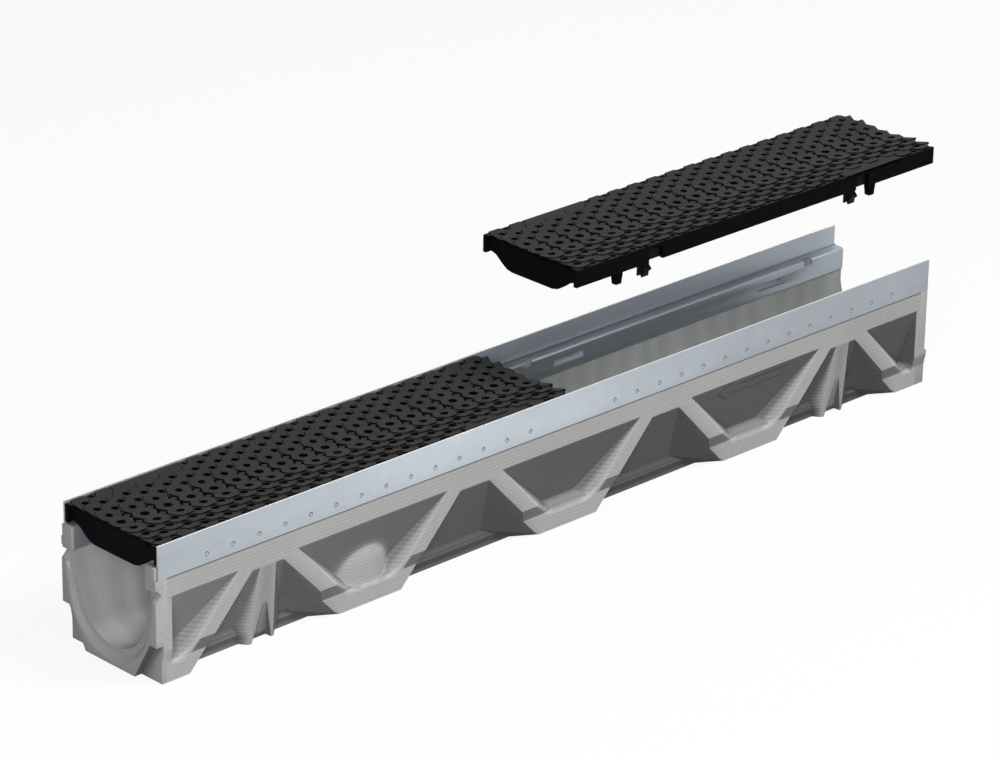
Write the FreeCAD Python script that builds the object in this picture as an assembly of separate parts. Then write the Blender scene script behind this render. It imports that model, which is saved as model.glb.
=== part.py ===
import FreeCAD, Part
import math
import os

# Drainage channel with two gratings, one of them lifted off. Millimetres.
# X runs along the channel, Y across it, Z up; the origin is the middle of the base.

# Driving dimensions
LENGTH = 1000.0
WIDTH = 128.0
HEIGHT = 134.0
LEDGE_WIDTH = 14.0
SHEET = 1.5
SKIRT_HEIGHT = 32.5
LEDGE_DROP = 20.5
FLANGE_DEPTH = 22.5
END_TONGUE = 3.0
BEAD = 1.1
BEAD_WIDTH = 2.0
LIFT = 121.4

HALF_L = LENGTH / 2
HALF_W = WIDTH / 2
HALF_CLEAR = HALF_W - LEDGE_WIDTH
WALL_IN = HALF_CLEAR + SHEET
LEDGE_Z = HEIGHT - LEDGE_DROP
SKIRT_BOTTOM_Z = HEIGHT - SKIRT_HEIGHT
FLANGE_BOTTOM_Z = LEDGE_Z - FLANGE_DEPTH

# Trough: a round bottom with straight flared sides that end in upright walls
BORE_R = HALF_CLEAR - 3.6
BORE_CENTRE_Z = 16.0 + BORE_R
FLARE_TOP_Z = BORE_CENTRE_Z + 15.1

# Foot: the lower side faces step inwards
FOOT_STEP = 2.5
STEP_TOP_Z = 31.5
STEP_BOTTOM_Z = 20.0

# Side pockets: bays repeat along the channel
BAY = LENGTH / 4
POCKET_DEPTH = 18.0
POCKET_FLOOR_Z = 23.5
CLOSED_TOP_Z = SKIRT_BOTTOM_Z - 19.0
CLOSED_HALF_TOP = 90.5
CLOSED_HALF_FLOOR = 21.0
CLOSED_HALF_SILL = 31.0
CLOSED_SILL_Z = 16.0
OPEN_TOP_Z = SKIRT_BOTTOM_Z - 24.0
OPEN_HALF_TOP = 18.0
OPEN_HALF_FLOOR = 24.0
OPEN_HALF_FOOT = 62.0
OPEN_HALF_BASE = 91.0
OPEN_FLOOR_Z = 18.5
END_POST = 15.0
END_POST_DRAFT = 1.0
RIB_HALF_TOP = 9.0
RIB_HALF_FOOT = 14.5
RIB_FOOT_DEPTH = 11.0
RIB_BACK = 12.5
RIB_SPREAD = 6.5
RIB_GAP_HALF = 9.5
RIB_GAP_TOP_Z = 37.0
RIB_GAP_DEPTH = 5.0
BOSS_X = -BAY
BOSS_Z = 37.0
BOSS_R = 23.0
BOSS_FOOT_R = 33.0
BOSS_DEPTH = 5.0

# Ends
CORNER_RECESS = 5.0
CORNER_TOP_Z = 38.0
CORNER_CLEARANCE = 2.0
FACE_HALF_BASE = HALF_W - 31.0
FACE_HALF_TOP = HALF_W - 9.0
SOCKET_R = BORE_R + 7.1
SOCKET_CENTRE_Z = BORE_CENTRE_Z - 4.7
SOCKET_DEPTH = 4.5
SOCKET_LAND = 5.5
KEY_Z = FLARE_TOP_Z + 9.5
KEY_HALF = 6.5
KEY_DEPTH = 6.5

# Gratings: a pair of equal lengths fills the channel
GRATE_GAP = 2.6
GRATE_LENGTH = LENGTH / 2 - GRATE_GAP
GRATE_CENTRE_X = BAY + 1.0
GRATE_CLEARANCE = 0.5
GRATE_WIDTH = WIDTH - 2 * (SHEET + GRATE_CLEARANCE)
GRATE_BOTTOM_Z = LEDGE_Z + BEAD
GRATE_HEIGHT = 19.0
WALL_HEIGHT = 17.0
PLATE = 6.0
SIDE_WALL = 4.0
TONGUE = 4.0
TONGUE_GAP = 2.2
NEAR_INSET = 1.5
NEAR_NOTCH = 2.5
BIG_HOLES = 19
BIG_HOLE_R = 5.0
END_MARGIN = 12.45
PITCH = (GRATE_LENGTH - 2 * END_MARGIN) / (BIG_HOLES - 1)
SMALL_HOLE = (3.6, 2.9)
ROWS = 5
ROW_STEP = GRATE_WIDTH / 15
SHINGLE_RISE = 1.6
WEDGE_Y = ROW_STEP
WEDGE_R = 3.4
BELLY_Z = GRATE_BOTTOM_Z - 11.9
BELLY_HALF = HALF_CLEAR - 23.5
RIB_THICK = 6.0
END_RIB_X = GRATE_LENGTH / 2 - 6.7
MID_RIB_X = GRATE_LENGTH / 4 - 4.35
NOTCH_X = GRATE_LENGTH / 2 - 104.7
NOTCH_WIDTH = 18.0
PRONG_X = GRATE_LENGTH / 2 - 72.2
PRONG_Y = (HALF_CLEAR - 10.0, HALF_CLEAR - 4.0)
PRONG_HALF = (7.0, 3.5)
PRONG_REACH = 20.0

# Rails
DIMPLE_Z = SKIRT_BOTTOM_Z + 9.0
DIMPLE_COUNT = 14
DIMPLE_PITCH = BAY * 0.12
DIMPLE_FIRST_X = BAY - DIMPLE_PITCH * (DIMPLE_COUNT - 1) / 2
DIMPLE_R = 2.2
DIMPLE_DEPTH = 1.0
SLOT_LENGTH = 40.0
SLOT_DROP = 8.0
SLOT_HEIGHT = 7.5
SLOT_OFFSET = NOTCH_X - 1.5
SLOT_RECESS = 3.0
LUG_HOLE = 11.0
LUG_HOLE_OFFSET = NOTCH_X + 53.5
LUG_HOLE_DEPTH = 5.5
LEDGE_ROUND = 2.5

# Snap clips
CLIP_WIDTH = 9.0
CLIP_BLOCK_Y = (HALF_CLEAR - 11.5, GRATE_WIDTH / 2 - 3.0)
CLIP_BLOCK_Z = GRATE_BOTTOM_Z + 1.4
CLIP_BLOCK_GAP = 0.5
CLIP_OUTER_Y = HALF_CLEAR - 0.8
CLIP_INNER_Y = HALF_CLEAR - 5.5
CLIP_LEG = 3.2
CLIP_TIP_Y = HALF_CLEAR + 2.8
CLIP_TIP_Z = GRATE_BOTTOM_Z - 12.0
CLIP_RAMP = 3.4
CLIP_CROTCH_Z = GRATE_BOTTOM_Z - 14.0
CLIP_BOTTOM_Z = GRATE_BOTTOM_Z - 20.0


def polygon(points):
    """A flat face from a list of corner points."""
    vectors = [FreeCAD.Vector(*p) for p in points]
    return Part.Face(Part.makePolygon(vectors + vectors[:1]))


def prism_x(profile, x0, x1):
    """A (y, z) profile carried from x0 to x1."""
    face = polygon([(x0, y, z) for y, z in profile])
    return face.extrude(FreeCAD.Vector(x1 - x0, 0, 0))


def polyhedron(faces):
    """A solid from its flat faces."""
    return Part.Solid(Part.Shell([polygon(f) for f in faces]))


def box(x0, x1, y0, y1, z0, z1):
    return Part.makeBox(x1 - x0, y1 - y0, z1 - z0, FreeCAD.Vector(x0, y0, z0))


def mirror_y(shape):
    return shape.mirror(FreeCAD.Vector(0, 0, 0), FreeCAD.Vector(0, 1, 0))


def half_turn(shape):
    turned = shape.copy()
    turned.rotate(FreeCAD.Vector(0, 0, 0), FreeCAD.Vector(0, 0, 1), 180)
    return turned


def tangent_point(radius, centre_z, y, z):
    """Where the line from (y, z) touches the trough circle on its +Y side."""
    distance = math.hypot(y, z - centre_z)
    to_point = math.atan2(z - centre_z, y)
    angle = to_point - math.acos(radius / distance)
    return radius * math.cos(angle), centre_z + radius * math.sin(angle)


def trough_wire(x, radius, centre_z, side_y, flare_z, top_z):
    """The trough outline at one station: arc, flared sides and upright walls."""
    ty, tz = tangent_point(radius, centre_z, side_y, flare_z)
    points = [(ty, tz), (side_y, flare_z), (side_y, top_z)]
    right = [FreeCAD.Vector(x, y, z) for y, z in points]
    left = [FreeCAD.Vector(x, -y, z) for y, z in points]
    bottom = FreeCAD.Vector(x, 0, centre_z - radius)
    arc = Part.Arc(left[0], bottom, right[0]).toShape()
    lines = [Part.makePolygon(pair) for pair in
             ((right[0], right[1]), (right[1], right[2]), (right[2], left[2]),
              (left[2], left[1]), (left[1], left[0]))]
    return Part.Wire([arc] + [line.Edges[0] for line in lines])


def side_block():
    """The outer form of the concrete, before pockets and trough."""
    foot = HALF_W - FOOT_STEP
    half = [(foot, 0), (foot, STEP_BOTTOM_Z), (HALF_W, STEP_TOP_Z), (HALF_W, SKIRT_BOTTOM_Z),
            (HALF_W - SHEET, SKIRT_BOTTOM_Z), (HALF_W - SHEET, LEDGE_Z - SHEET)]
    profile = half + [(-y, z) for y, z in reversed(half)]
    reach = HALF_L + END_TONGUE
    return prism_x(profile, -reach, reach)


def closed_pocket(centre):
    """A pocket that tapers to a sill above the foot, on the -Y side."""
    over = 1.0
    grow = 1 + over / POCKET_DEPTH

    def at(x, depth, z):
        return (centre + x, -HALF_W + depth, z)

    def outer(x, z, x_in):
        return at(x_in + (x - x_in) * grow, -over, POCKET_FLOOR_Z + (z - POCKET_FLOOR_Z) * grow)

    top = [outer(s * CLOSED_HALF_TOP, CLOSED_TOP_Z, s * CLOSED_HALF_FLOOR) for s in (-1, 1)]
    sill = [outer(s * CLOSED_HALF_SILL, CLOSED_SILL_Z, s * CLOSED_HALF_FLOOR) for s in (-1, 1)]
    deep = [at(s * CLOSED_HALF_FLOOR, POCKET_DEPTH, POCKET_FLOOR_Z) for s in (-1, 1)]
    return polyhedron([
        [top[0], top[1], sill[1], sill[0]],
        [top[0], top[1], deep[1], deep[0]],
        [sill[0], sill[1], deep[1], deep[0]],
        [top[0], sill[0], deep[0]],
        [top[1], sill[1], deep[1]],
    ])


def open_pocket(centre):
    """A pocket that runs out through the base, on the -Y side."""
    over = 1.0

    def at(x, depth, z):
        return (centre + x, -HALF_W + depth, z)

    def outer(x, z, x_in, z_in):
        grow = 1 + over / POCKET_DEPTH
        return at(x_in + (x - x_in) * grow, -over, z_in + (z - z_in) * grow)

    signs = (-1, 1)
    top = [outer(s * OPEN_HALF_TOP, OPEN_TOP_Z, s * OPEN_HALF_FLOOR, OPEN_FLOOR_Z) for s in signs]
    base = [outer(s * OPEN_HALF_BASE, -over, s * OPEN_HALF_FOOT, -over) for s in signs]
    crease = [at(s * OPEN_HALF_FLOOR, POCKET_DEPTH, OPEN_FLOOR_Z) for s in signs]
    foot = [at(s * OPEN_HALF_FOOT, POCKET_DEPTH, -over) for s in signs]
    faces = [
        [top[0], top[1], base[1], base[0]],
        [top[0], top[1], crease[1], crease[0]],
        [crease[0], crease[1], foot[1], foot[0]],
        [base[0], base[1], foot[1], foot[0]],
    ]
    for i in (0, 1):
        faces.append([top[i], base[i], crease[i]])
        faces.append([base[i], foot[i], crease[i]])
    return polyhedron(faces)


def pocket_rib(centre):
    """The upright rib in an open pocket, with its foot split into two fins."""
    y = -HALF_W
    top_scale = 0.5

    def ring(half, depth, scale, z):
        outer_y = y + depth
        inner_y = y + depth + RIB_BACK * scale
        wide = half + RIB_SPREAD * scale
        return Part.makePolygon([FreeCAD.Vector(centre + px, py, z) for px, py in
                                 ((-half, outer_y), (half, outer_y), (wide, inner_y),
                                  (-wide, inner_y), (-half, outer_y))])

    foot_ring = ring(RIB_HALF_FOOT, RIB_FOOT_DEPTH, 1.0, 0.0)
    top_ring = ring(RIB_HALF_TOP, 0.0, top_scale, OPEN_TOP_Z)
    rib = Part.makeLoft([foot_ring, top_ring], True, True)
    gap = polygon([(centre - RIB_GAP_HALF, y - 1, -1), (centre + RIB_GAP_HALF, y - 1, -1),
                   (centre, y - 1, RIB_GAP_TOP_Z)])
    return rib.cut(gap.extrude(FreeCAD.Vector(0, 1 + RIB_FOOT_DEPTH + RIB_GAP_DEPTH, 0)))


def boss():
    """The round boss of one closed pocket, which runs straight down into the sill."""
    face_y = -HALF_W + BOSS_DEPTH
    floor_y = -HALF_W + POCKET_DEPTH
    disc = Part.makeCone(BOSS_R, BOSS_FOOT_R, floor_y - face_y,
                         FreeCAD.Vector(BOSS_X, face_y, BOSS_Z), FreeCAD.Vector(0, 1, 0))
    apron = [Part.makePolygon([FreeCAD.Vector(BOSS_X + px, y, z) for px, z in
                               ((-half, BOSS_Z), (half, BOSS_Z), (half, 0), (-half, 0),
                                (-half, BOSS_Z))])
             for y, half in ((face_y, BOSS_R), (floor_y, BOSS_FOOT_R))]
    return disc.fuse(Part.makeLoft(apron, True, True))


def side_pockets():
    """All pockets of the -Y side as one cutting shape."""
    cutters = []
    for centre in (-2 * BAY, -BAY, 0.0, BAY, 2 * BAY):
        pocket = closed_pocket(centre)
        if abs(centre) > HALF_L - 1:
            side = math.copysign(1, centre)
            edge = HALF_L - END_POST
            run = END_POST_DRAFT * (POCKET_DEPTH + 1)
            keep = polygon([(side * (edge + END_POST_DRAFT), -HALF_W - 1, -5),
                            (side * (edge - run + END_POST_DRAFT), -HALF_W + POCKET_DEPTH, -5),
                            (side * LENGTH, -HALF_W + POCKET_DEPTH, -5),
                            (side * LENGTH, -HALF_W - 1, -5)])
            pocket = pocket.cut(keep.extrude(FreeCAD.Vector(0, 0, HEIGHT)))
        if centre == BOSS_X:
            pocket = pocket.cut(boss())
        cutters.append(pocket)
    for centre in (-1.5 * BAY, -0.5 * BAY, 0.5 * BAY, 1.5 * BAY):
        pocket = open_pocket(centre)
        if abs(centre) > BAY:
            pocket = pocket.cut(pocket_rib(centre))
        cutters.append(pocket)
    return cutters


def near_end_cuts():
    """Recessed lower corners, seal socket and wall keys at the -X end."""
    face_x = -HALF_L - END_TONGUE
    recess_x = -HALF_L + CORNER_RECESS
    cuts = []
    for s in (-1, 1):
        base = [(s * FACE_HALF_BASE, -1), (s * FACE_HALF_TOP, CORNER_TOP_Z),
                (s * (HALF_W + 1), CORNER_TOP_Z), (s * (HALF_W + 1), -1)]
        cuts.append(prism_x(base, face_x - 1, recess_x))
        inside = s * (WALL_IN - 1)
        key = polygon([(face_x - 1, inside, KEY_Z + KEY_HALF + 1),
                       (face_x - 1, inside, KEY_Z - KEY_HALF - 1),
                       (face_x + KEY_DEPTH, inside, KEY_Z)])
        cuts.append(key.extrude(FreeCAD.Vector(0, s * LEDGE_WIDTH, 0)))
    side = WALL_IN + (SOCKET_R - BORE_R)
    outer = trough_wire(face_x, SOCKET_R, SOCKET_CENTRE_Z, side, FLARE_TOP_Z, KEY_Z)
    inner = trough_wire(face_x + SOCKET_DEPTH, BORE_R + SOCKET_LAND, BORE_CENTRE_Z,
                        side, FLARE_TOP_Z, KEY_Z)
    cuts.append(Part.makeLoft([outer, inner], True, True))
    return cuts


def far_end_cuts():
    """The +X end: the lower corners stand proud, the rest is set back."""
    face_x = HALF_L + END_TONGUE
    top = CORNER_TOP_Z - CORNER_CLEARANCE
    half = [(FACE_HALF_BASE, -1), (FACE_HALF_TOP, top), (HALF_W + 1, top), (HALF_W + 1, HEIGHT)]
    profile = half + [(-y, z) for y, z in reversed(half)]
    return [prism_x(profile, HALF_L, face_x + 1)]


def channel_body():
    block = side_block()
    reach = HALF_L + END_TONGUE + 1
    bore = Part.Face(trough_wire(-reach, BORE_R, BORE_CENTRE_Z, WALL_IN, FLARE_TOP_Z, HEIGHT))
    cutters = [bore.extrude(FreeCAD.Vector(2 * reach, 0, 0))]
    sides = side_pockets()
    cutters += sides + [half_turn(pocket) for pocket in sides]
    cutters += near_end_cuts() + far_end_cuts()
    recesses = [clip_slot(x, -WALL_IN - SLOT_RECESS) for x in slot_places()]
    cutters += recesses + [mirror_y(recess) for recess in recesses]
    ear = box(-HALF_L - END_TONGUE, -HALF_L, HALF_CLEAR, HALF_W - SHEET, FLANGE_BOTTOM_Z, LEDGE_Z)
    return block.cut(cutters).fuse([ear, mirror_y(ear)]).removeSplitter()


def slot_places():
    return [half * BAY + side * SLOT_OFFSET for half in (-1, 1) for side in (-1, 1)]


def clip_slot(x, back_y):
    """The window that a clip snaps into, on the -Y side, as deep as back_y."""
    top = LEDGE_Z - SLOT_DROP
    return box(x - SLOT_LENGTH / 2, x + SLOT_LENGTH / 2, back_y, -HALF_CLEAR + 1,
               top - SLOT_HEIGHT, top)


def dimple(x):
    """A small four-sided dent in the outer face of the -Y rail."""
    ring = [(x - DIMPLE_R, -HALF_W, DIMPLE_Z), (x, -HALF_W, DIMPLE_Z + DIMPLE_R),
            (x + DIMPLE_R, -HALF_W, DIMPLE_Z), (x, -HALF_W, DIMPLE_Z - DIMPLE_R)]
    point = (x, -HALF_W + DIMPLE_DEPTH, DIMPLE_Z)
    return polyhedron([ring] + [[ring[k - 1], ring[k], point] for k in range(4)])


def rail():
    """The folded edge rail of the -Y side."""
    arc_z = LEDGE_Z - LEDGE_ROUND
    arc_y = HALF_CLEAR + LEDGE_ROUND
    middle = LEDGE_ROUND * math.sqrt(0.5)

    def at(y, z):
        return FreeCAD.Vector(-HALF_L, -y, z)

    outer = HALF_W
    skin = HALF_W - SHEET
    edges = Part.makePolygon([
        at(arc_y, LEDGE_Z), at(skin - BEAD_WIDTH, LEDGE_Z), at(skin - BEAD, LEDGE_Z + BEAD),
        at(skin, LEDGE_Z + BEAD), at(skin, HEIGHT), at(outer, HEIGHT),
        at(outer, SKIRT_BOTTOM_Z), at(skin, SKIRT_BOTTOM_Z), at(skin, LEDGE_Z - SHEET),
        at(WALL_IN, LEDGE_Z - SHEET), at(WALL_IN, FLANGE_BOTTOM_Z),
        at(HALF_CLEAR, FLANGE_BOTTOM_Z), at(HALF_CLEAR, arc_z)]).Edges
    outer_arc = Part.Arc(at(HALF_CLEAR, arc_z), at(arc_y - middle, arc_z + middle),
                         at(arc_y, LEDGE_Z)).toShape()
    profile = Part.Wire(edges + [outer_arc])
    sheet = Part.Face(profile).extrude(FreeCAD.Vector(LENGTH, 0, 0))
    cutters = [clip_slot(x, -WALL_IN - 1) for x in slot_places()]
    for half in (-1, 1):
        for side in (-1, 1):
            x = half * BAY + side * LUG_HOLE_OFFSET
            cutters.append(box(x - LUG_HOLE / 2, x + LUG_HOLE / 2, -HALF_CLEAR - LUG_HOLE_DEPTH,
                               -HALF_CLEAR + 1, LEDGE_Z - LUG_HOLE_DEPTH, LEDGE_Z + 1))
        for i in range(DIMPLE_COUNT):
            cutters.append(dimple(half * (DIMPLE_FIRST_X + i * DIMPLE_PITCH)))
    return sheet.cut(cutters)


def hole(x, y, half_x, half_y, sides):
    """A many-sided cutter that runs up through the plate."""
    corners = []
    for k in range(sides):
        angle = 2 * math.pi * k / sides
        corners.append((x + half_x * math.cos(angle), y + half_y * math.sin(angle),
                        GRATE_BOTTOM_Z))
    return polygon(corners).extrude(FreeCAD.Vector(0, 0, 2 * GRATE_HEIGHT))


def row_places(row):
    """The hole positions of one row; every second row is shifted by half a pitch."""
    first = -PITCH * (BIG_HOLES - 1) / 2
    if row % 2 == 0:
        return [first + i * PITCH for i in range(BIG_HOLES)]
    return [first + (i + 0.5) * PITCH for i in range(BIG_HOLES - 1)]


def plate_holes():
    cutters = [hole(x, 0, BIG_HOLE_R, BIG_HOLE_R * 0.8, 6) for x in row_places(0)]
    for s in (-1, 1):
        cutters += [hole(x, s * WEDGE_Y, WEDGE_R, WEDGE_R, 3) for x in row_places(1)]
        for row in range(2, 2 + ROWS):
            cutters += [hole(x, s * row * ROW_STEP, SMALL_HOLE[0], SMALL_HOLE[1], 4)
                        for x in row_places(row)]
    return cutters


def plate_outline():
    """The plate seen from above: hooked tongues at +X, shallow notches at -X."""
    end = GRATE_LENGTH / 2
    edge = GRATE_WIDTH / 2
    tip_y = PITCH / 2 * math.sin(math.radians(60))
    half = [(end + 0.5, 0)]
    for row in (1, 3, 5):
        y = row * ROW_STEP
        half += [(end - TONGUE_GAP, y), (end + TONGUE, y + tip_y), (end - TONGUE_GAP, y + tip_y)]
    far_end = [(x, -y) for x, y in reversed(half)] + half[1:]
    near = -end + NEAR_INSET
    near_end = [(near + (NEAR_NOTCH if row % 2 else 0), -row * ROW_STEP) for row in range(-7, 8)]
    corners = [(end - TONGUE_GAP, -edge)] + far_end + [(end - TONGUE_GAP, edge), (near, edge)]
    corners += near_end + [(near, -edge)]
    outline = polygon([(x, y, GRATE_BOTTOM_Z) for x, y in corners])
    return outline.extrude(FreeCAD.Vector(0, 0, 2 * GRATE_HEIGHT))


def plate():
    """The shingled plate: a flat middle, then rows that each rise towards the long edge."""
    top = GRATE_BOTTOM_Z + GRATE_HEIGHT
    low = top - SHINGLE_RISE
    edge = GRATE_WIDTH / 2
    half = [(1.5 * ROW_STEP, low)]
    for row in range(2, 2 + ROWS):
        y = (row - 0.5) * ROW_STEP
        half += [(y, low), (y + ROW_STEP, top)]
    half = half[1:] + [((1.5 + ROWS) * ROW_STEP, low), (edge, top), (edge, top - PLATE)]
    profile = half + [(-y, z) for y, z in reversed(half)]
    reach = GRATE_LENGTH / 2 + TONGUE
    slab = prism_x(profile, -reach, reach)
    return slab.common(plate_outline()).cut(plate_holes())


def cross_rib(x):
    """A belly-shaped rib across the underside."""
    seat = GRATE_WIDTH / 2 - SIDE_WALL
    top = GRATE_BOTTOM_Z + GRATE_HEIGHT - PLATE
    half = [(BELLY_HALF, BELLY_Z), (BELLY_HALF + 7, BELLY_Z + 1.5),
            (BELLY_HALF + 14, BELLY_Z + 6), (HALF_CLEAR - 2, GRATE_BOTTOM_Z),
            (seat, GRATE_BOTTOM_Z + 3), (seat, top)]
    profile = half + [(-y, z) for y, z in reversed(half)]
    return prism_x(profile, x - RIB_THICK / 2, x + RIB_THICK / 2)


def prong(x, side):
    """A tapered locating prong, carried on a short web to the side wall."""
    top = GRATE_BOTTOM_Z + GRATE_HEIGHT - PLATE
    shoulder = GRATE_BOTTOM_Z
    bottom = shoulder - PRONG_REACH
    wide, narrow = PRONG_HALF
    inner, outer = side * PRONG_Y[0], side * PRONG_Y[1]
    face = polygon([(x - wide, inner, top), (x + wide, inner, top), (x + wide, inner, shoulder),
                    (x + narrow, inner, bottom), (x - narrow, inner, bottom),
                    (x - wide, inner, shoulder)])
    spike = face.extrude(FreeCAD.Vector(0, outer - inner, 0))
    seat = side * (GRATE_WIDTH / 2 - SIDE_WALL)
    web = box(x - narrow, x + narrow, min(inner, seat), max(inner, seat), shoulder + 1, top)
    return spike.fuse(web)


def grating():
    """One grating at its seated height, centred on X = 0."""
    half_x = GRATE_LENGTH / 2
    half_y = GRATE_WIDTH / 2
    under = GRATE_BOTTOM_Z + GRATE_HEIGHT - PLATE
    parts = []
    for s in (-1, 1):
        outer, inner = s * half_y, s * (half_y - SIDE_WALL)
        wall = box(-half_x, half_x, min(outer, inner), max(outer, inner), GRATE_BOTTOM_Z,
                   GRATE_BOTTOM_Z + WALL_HEIGHT)
        for notch in (-1, 1):
            x = notch * NOTCH_X
            wall = wall.cut(box(x - NOTCH_WIDTH / 2, x + NOTCH_WIDTH / 2, -half_y, half_y,
                                GRATE_BOTTOM_Z, under))
        parts.append(wall)
        for side in (-1, 1):
            parts.append(prong(side * PRONG_X, s))
    for x in (END_RIB_X, MID_RIB_X):
        parts += [cross_rib(-x), cross_rib(x)]
    return plate().fuse(parts).removeSplitter()


def clip(side):
    """A two-legged snap clip on one side; its barb enters the slot in the rail."""
    block_in, block_out = CLIP_BLOCK_Y
    half = NOTCH_WIDTH / 2 - CLIP_BLOCK_GAP
    top = GRATE_BOTTOM_Z + GRATE_HEIGHT - PLATE
    block = box(-half, half, min(side * block_in, side * block_out),
                max(side * block_in, side * block_out), CLIP_BLOCK_Z, top)
    crotch_y = (CLIP_INNER_Y + CLIP_OUTER_Y - CLIP_LEG) / 2
    legs = [(CLIP_INNER_Y - CLIP_LEG, CLIP_BOTTOM_Z), (CLIP_INNER_Y - 1.5, CLIP_BOTTOM_Z),
            (crotch_y, CLIP_CROTCH_Z), (CLIP_OUTER_Y - CLIP_LEG + 1, CLIP_BOTTOM_Z),
            (CLIP_OUTER_Y - 0.7, CLIP_BOTTOM_Z), (CLIP_OUTER_Y, CLIP_TIP_Z - CLIP_RAMP),
            (CLIP_TIP_Y, CLIP_TIP_Z), (CLIP_OUTER_Y, CLIP_TIP_Z + CLIP_RAMP),
            (CLIP_OUTER_Y, CLIP_BLOCK_Z + 1),
            (CLIP_INNER_Y - CLIP_LEG, CLIP_BLOCK_Z + 1)]
    hooks = prism_x([(side * y, z) for y, z in legs], -CLIP_WIDTH / 2, CLIP_WIDTH / 2)
    return block.fuse(hooks).removeSplitter()


def export(name, shape):
    shape.exportStep(os.path.join("parts", name + ".step"))


def moved(shape, x, z):
    copy = shape.copy()
    copy.translate(FreeCAD.Vector(x, 0, z))
    return copy


def main():
    os.makedirs("parts", exist_ok=True)
    export("channel_body", channel_body())
    front = rail()
    export("front_rail", front)
    export("rear_rail", mirror_y(front))
    grate = grating()
    places = {"seated": (-GRATE_CENTRE_X, 0), "raised": (GRATE_CENTRE_X, LIFT)}
    for name, (x, z) in places.items():
        export(name + "_grating", moved(grate, x, z))
        number = 1
        for side_y in (-1, 1):
            for side_x in (-1, 1):
                snap = clip(side_y)
                export(name + "_clip_" + str(number), moved(snap, x + side_x * NOTCH_X, z))
                number += 1


main()
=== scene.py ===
import math

import bmesh
import bpy
from mathutils import Matrix, Vector


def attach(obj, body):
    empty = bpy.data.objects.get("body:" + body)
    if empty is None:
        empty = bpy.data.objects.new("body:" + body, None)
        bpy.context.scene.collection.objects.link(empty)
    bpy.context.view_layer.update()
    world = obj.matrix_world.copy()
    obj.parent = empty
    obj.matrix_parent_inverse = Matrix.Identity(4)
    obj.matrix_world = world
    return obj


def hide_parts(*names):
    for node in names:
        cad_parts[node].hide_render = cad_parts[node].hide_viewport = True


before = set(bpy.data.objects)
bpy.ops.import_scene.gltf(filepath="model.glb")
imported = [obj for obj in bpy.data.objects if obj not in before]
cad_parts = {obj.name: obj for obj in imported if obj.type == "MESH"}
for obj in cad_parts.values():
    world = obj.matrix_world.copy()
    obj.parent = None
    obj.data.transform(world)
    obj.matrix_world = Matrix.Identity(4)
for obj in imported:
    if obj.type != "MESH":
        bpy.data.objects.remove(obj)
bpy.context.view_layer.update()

MM = 0.001
scene = bpy.context.scene


def add_object(name, data):
    thing = bpy.data.objects.new(name, data)
    scene.collection.objects.link(thing)
    return thing


# Camera: fitted to the photograph's straight edges
AZIMUTH, ELEVATION, ROLL = (math.radians(a) for a in (-44.31, 23.16, 0.97))
FOCAL_PX = 4432.32
PICTURE_PX = 1000.0
SENSOR_MM = 36.0
OFFSET = (-0.02163, 0.11563, 4.19373)


def make_camera():
    back = Vector((math.sin(AZIMUTH) * math.cos(ELEVATION),
                   -math.cos(AZIMUTH) * math.cos(ELEVATION), math.sin(ELEVATION)))
    flat = Vector((math.cos(AZIMUTH), math.sin(AZIMUTH), 0))
    rise = back.cross(flat)
    right = math.cos(ROLL) * flat + math.sin(ROLL) * rise
    up = -math.sin(ROLL) * flat + math.cos(ROLL) * rise
    data = bpy.data.cameras.new("camera")
    data.sensor_fit = "HORIZONTAL"
    data.sensor_width = SENSOR_MM
    data.lens = FOCAL_PX * SENSOR_MM / PICTURE_PX
    data.clip_start = 0.1
    data.clip_end = 60.0
    camera = add_object("camera", data)
    place = OFFSET[0] * right + OFFSET[1] * up + OFFSET[2] * back
    turn = Matrix((right, up, back)).transposed().to_4x4()
    camera.matrix_world = Matrix.Translation(place) @ turn
    scene.camera = camera


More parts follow.
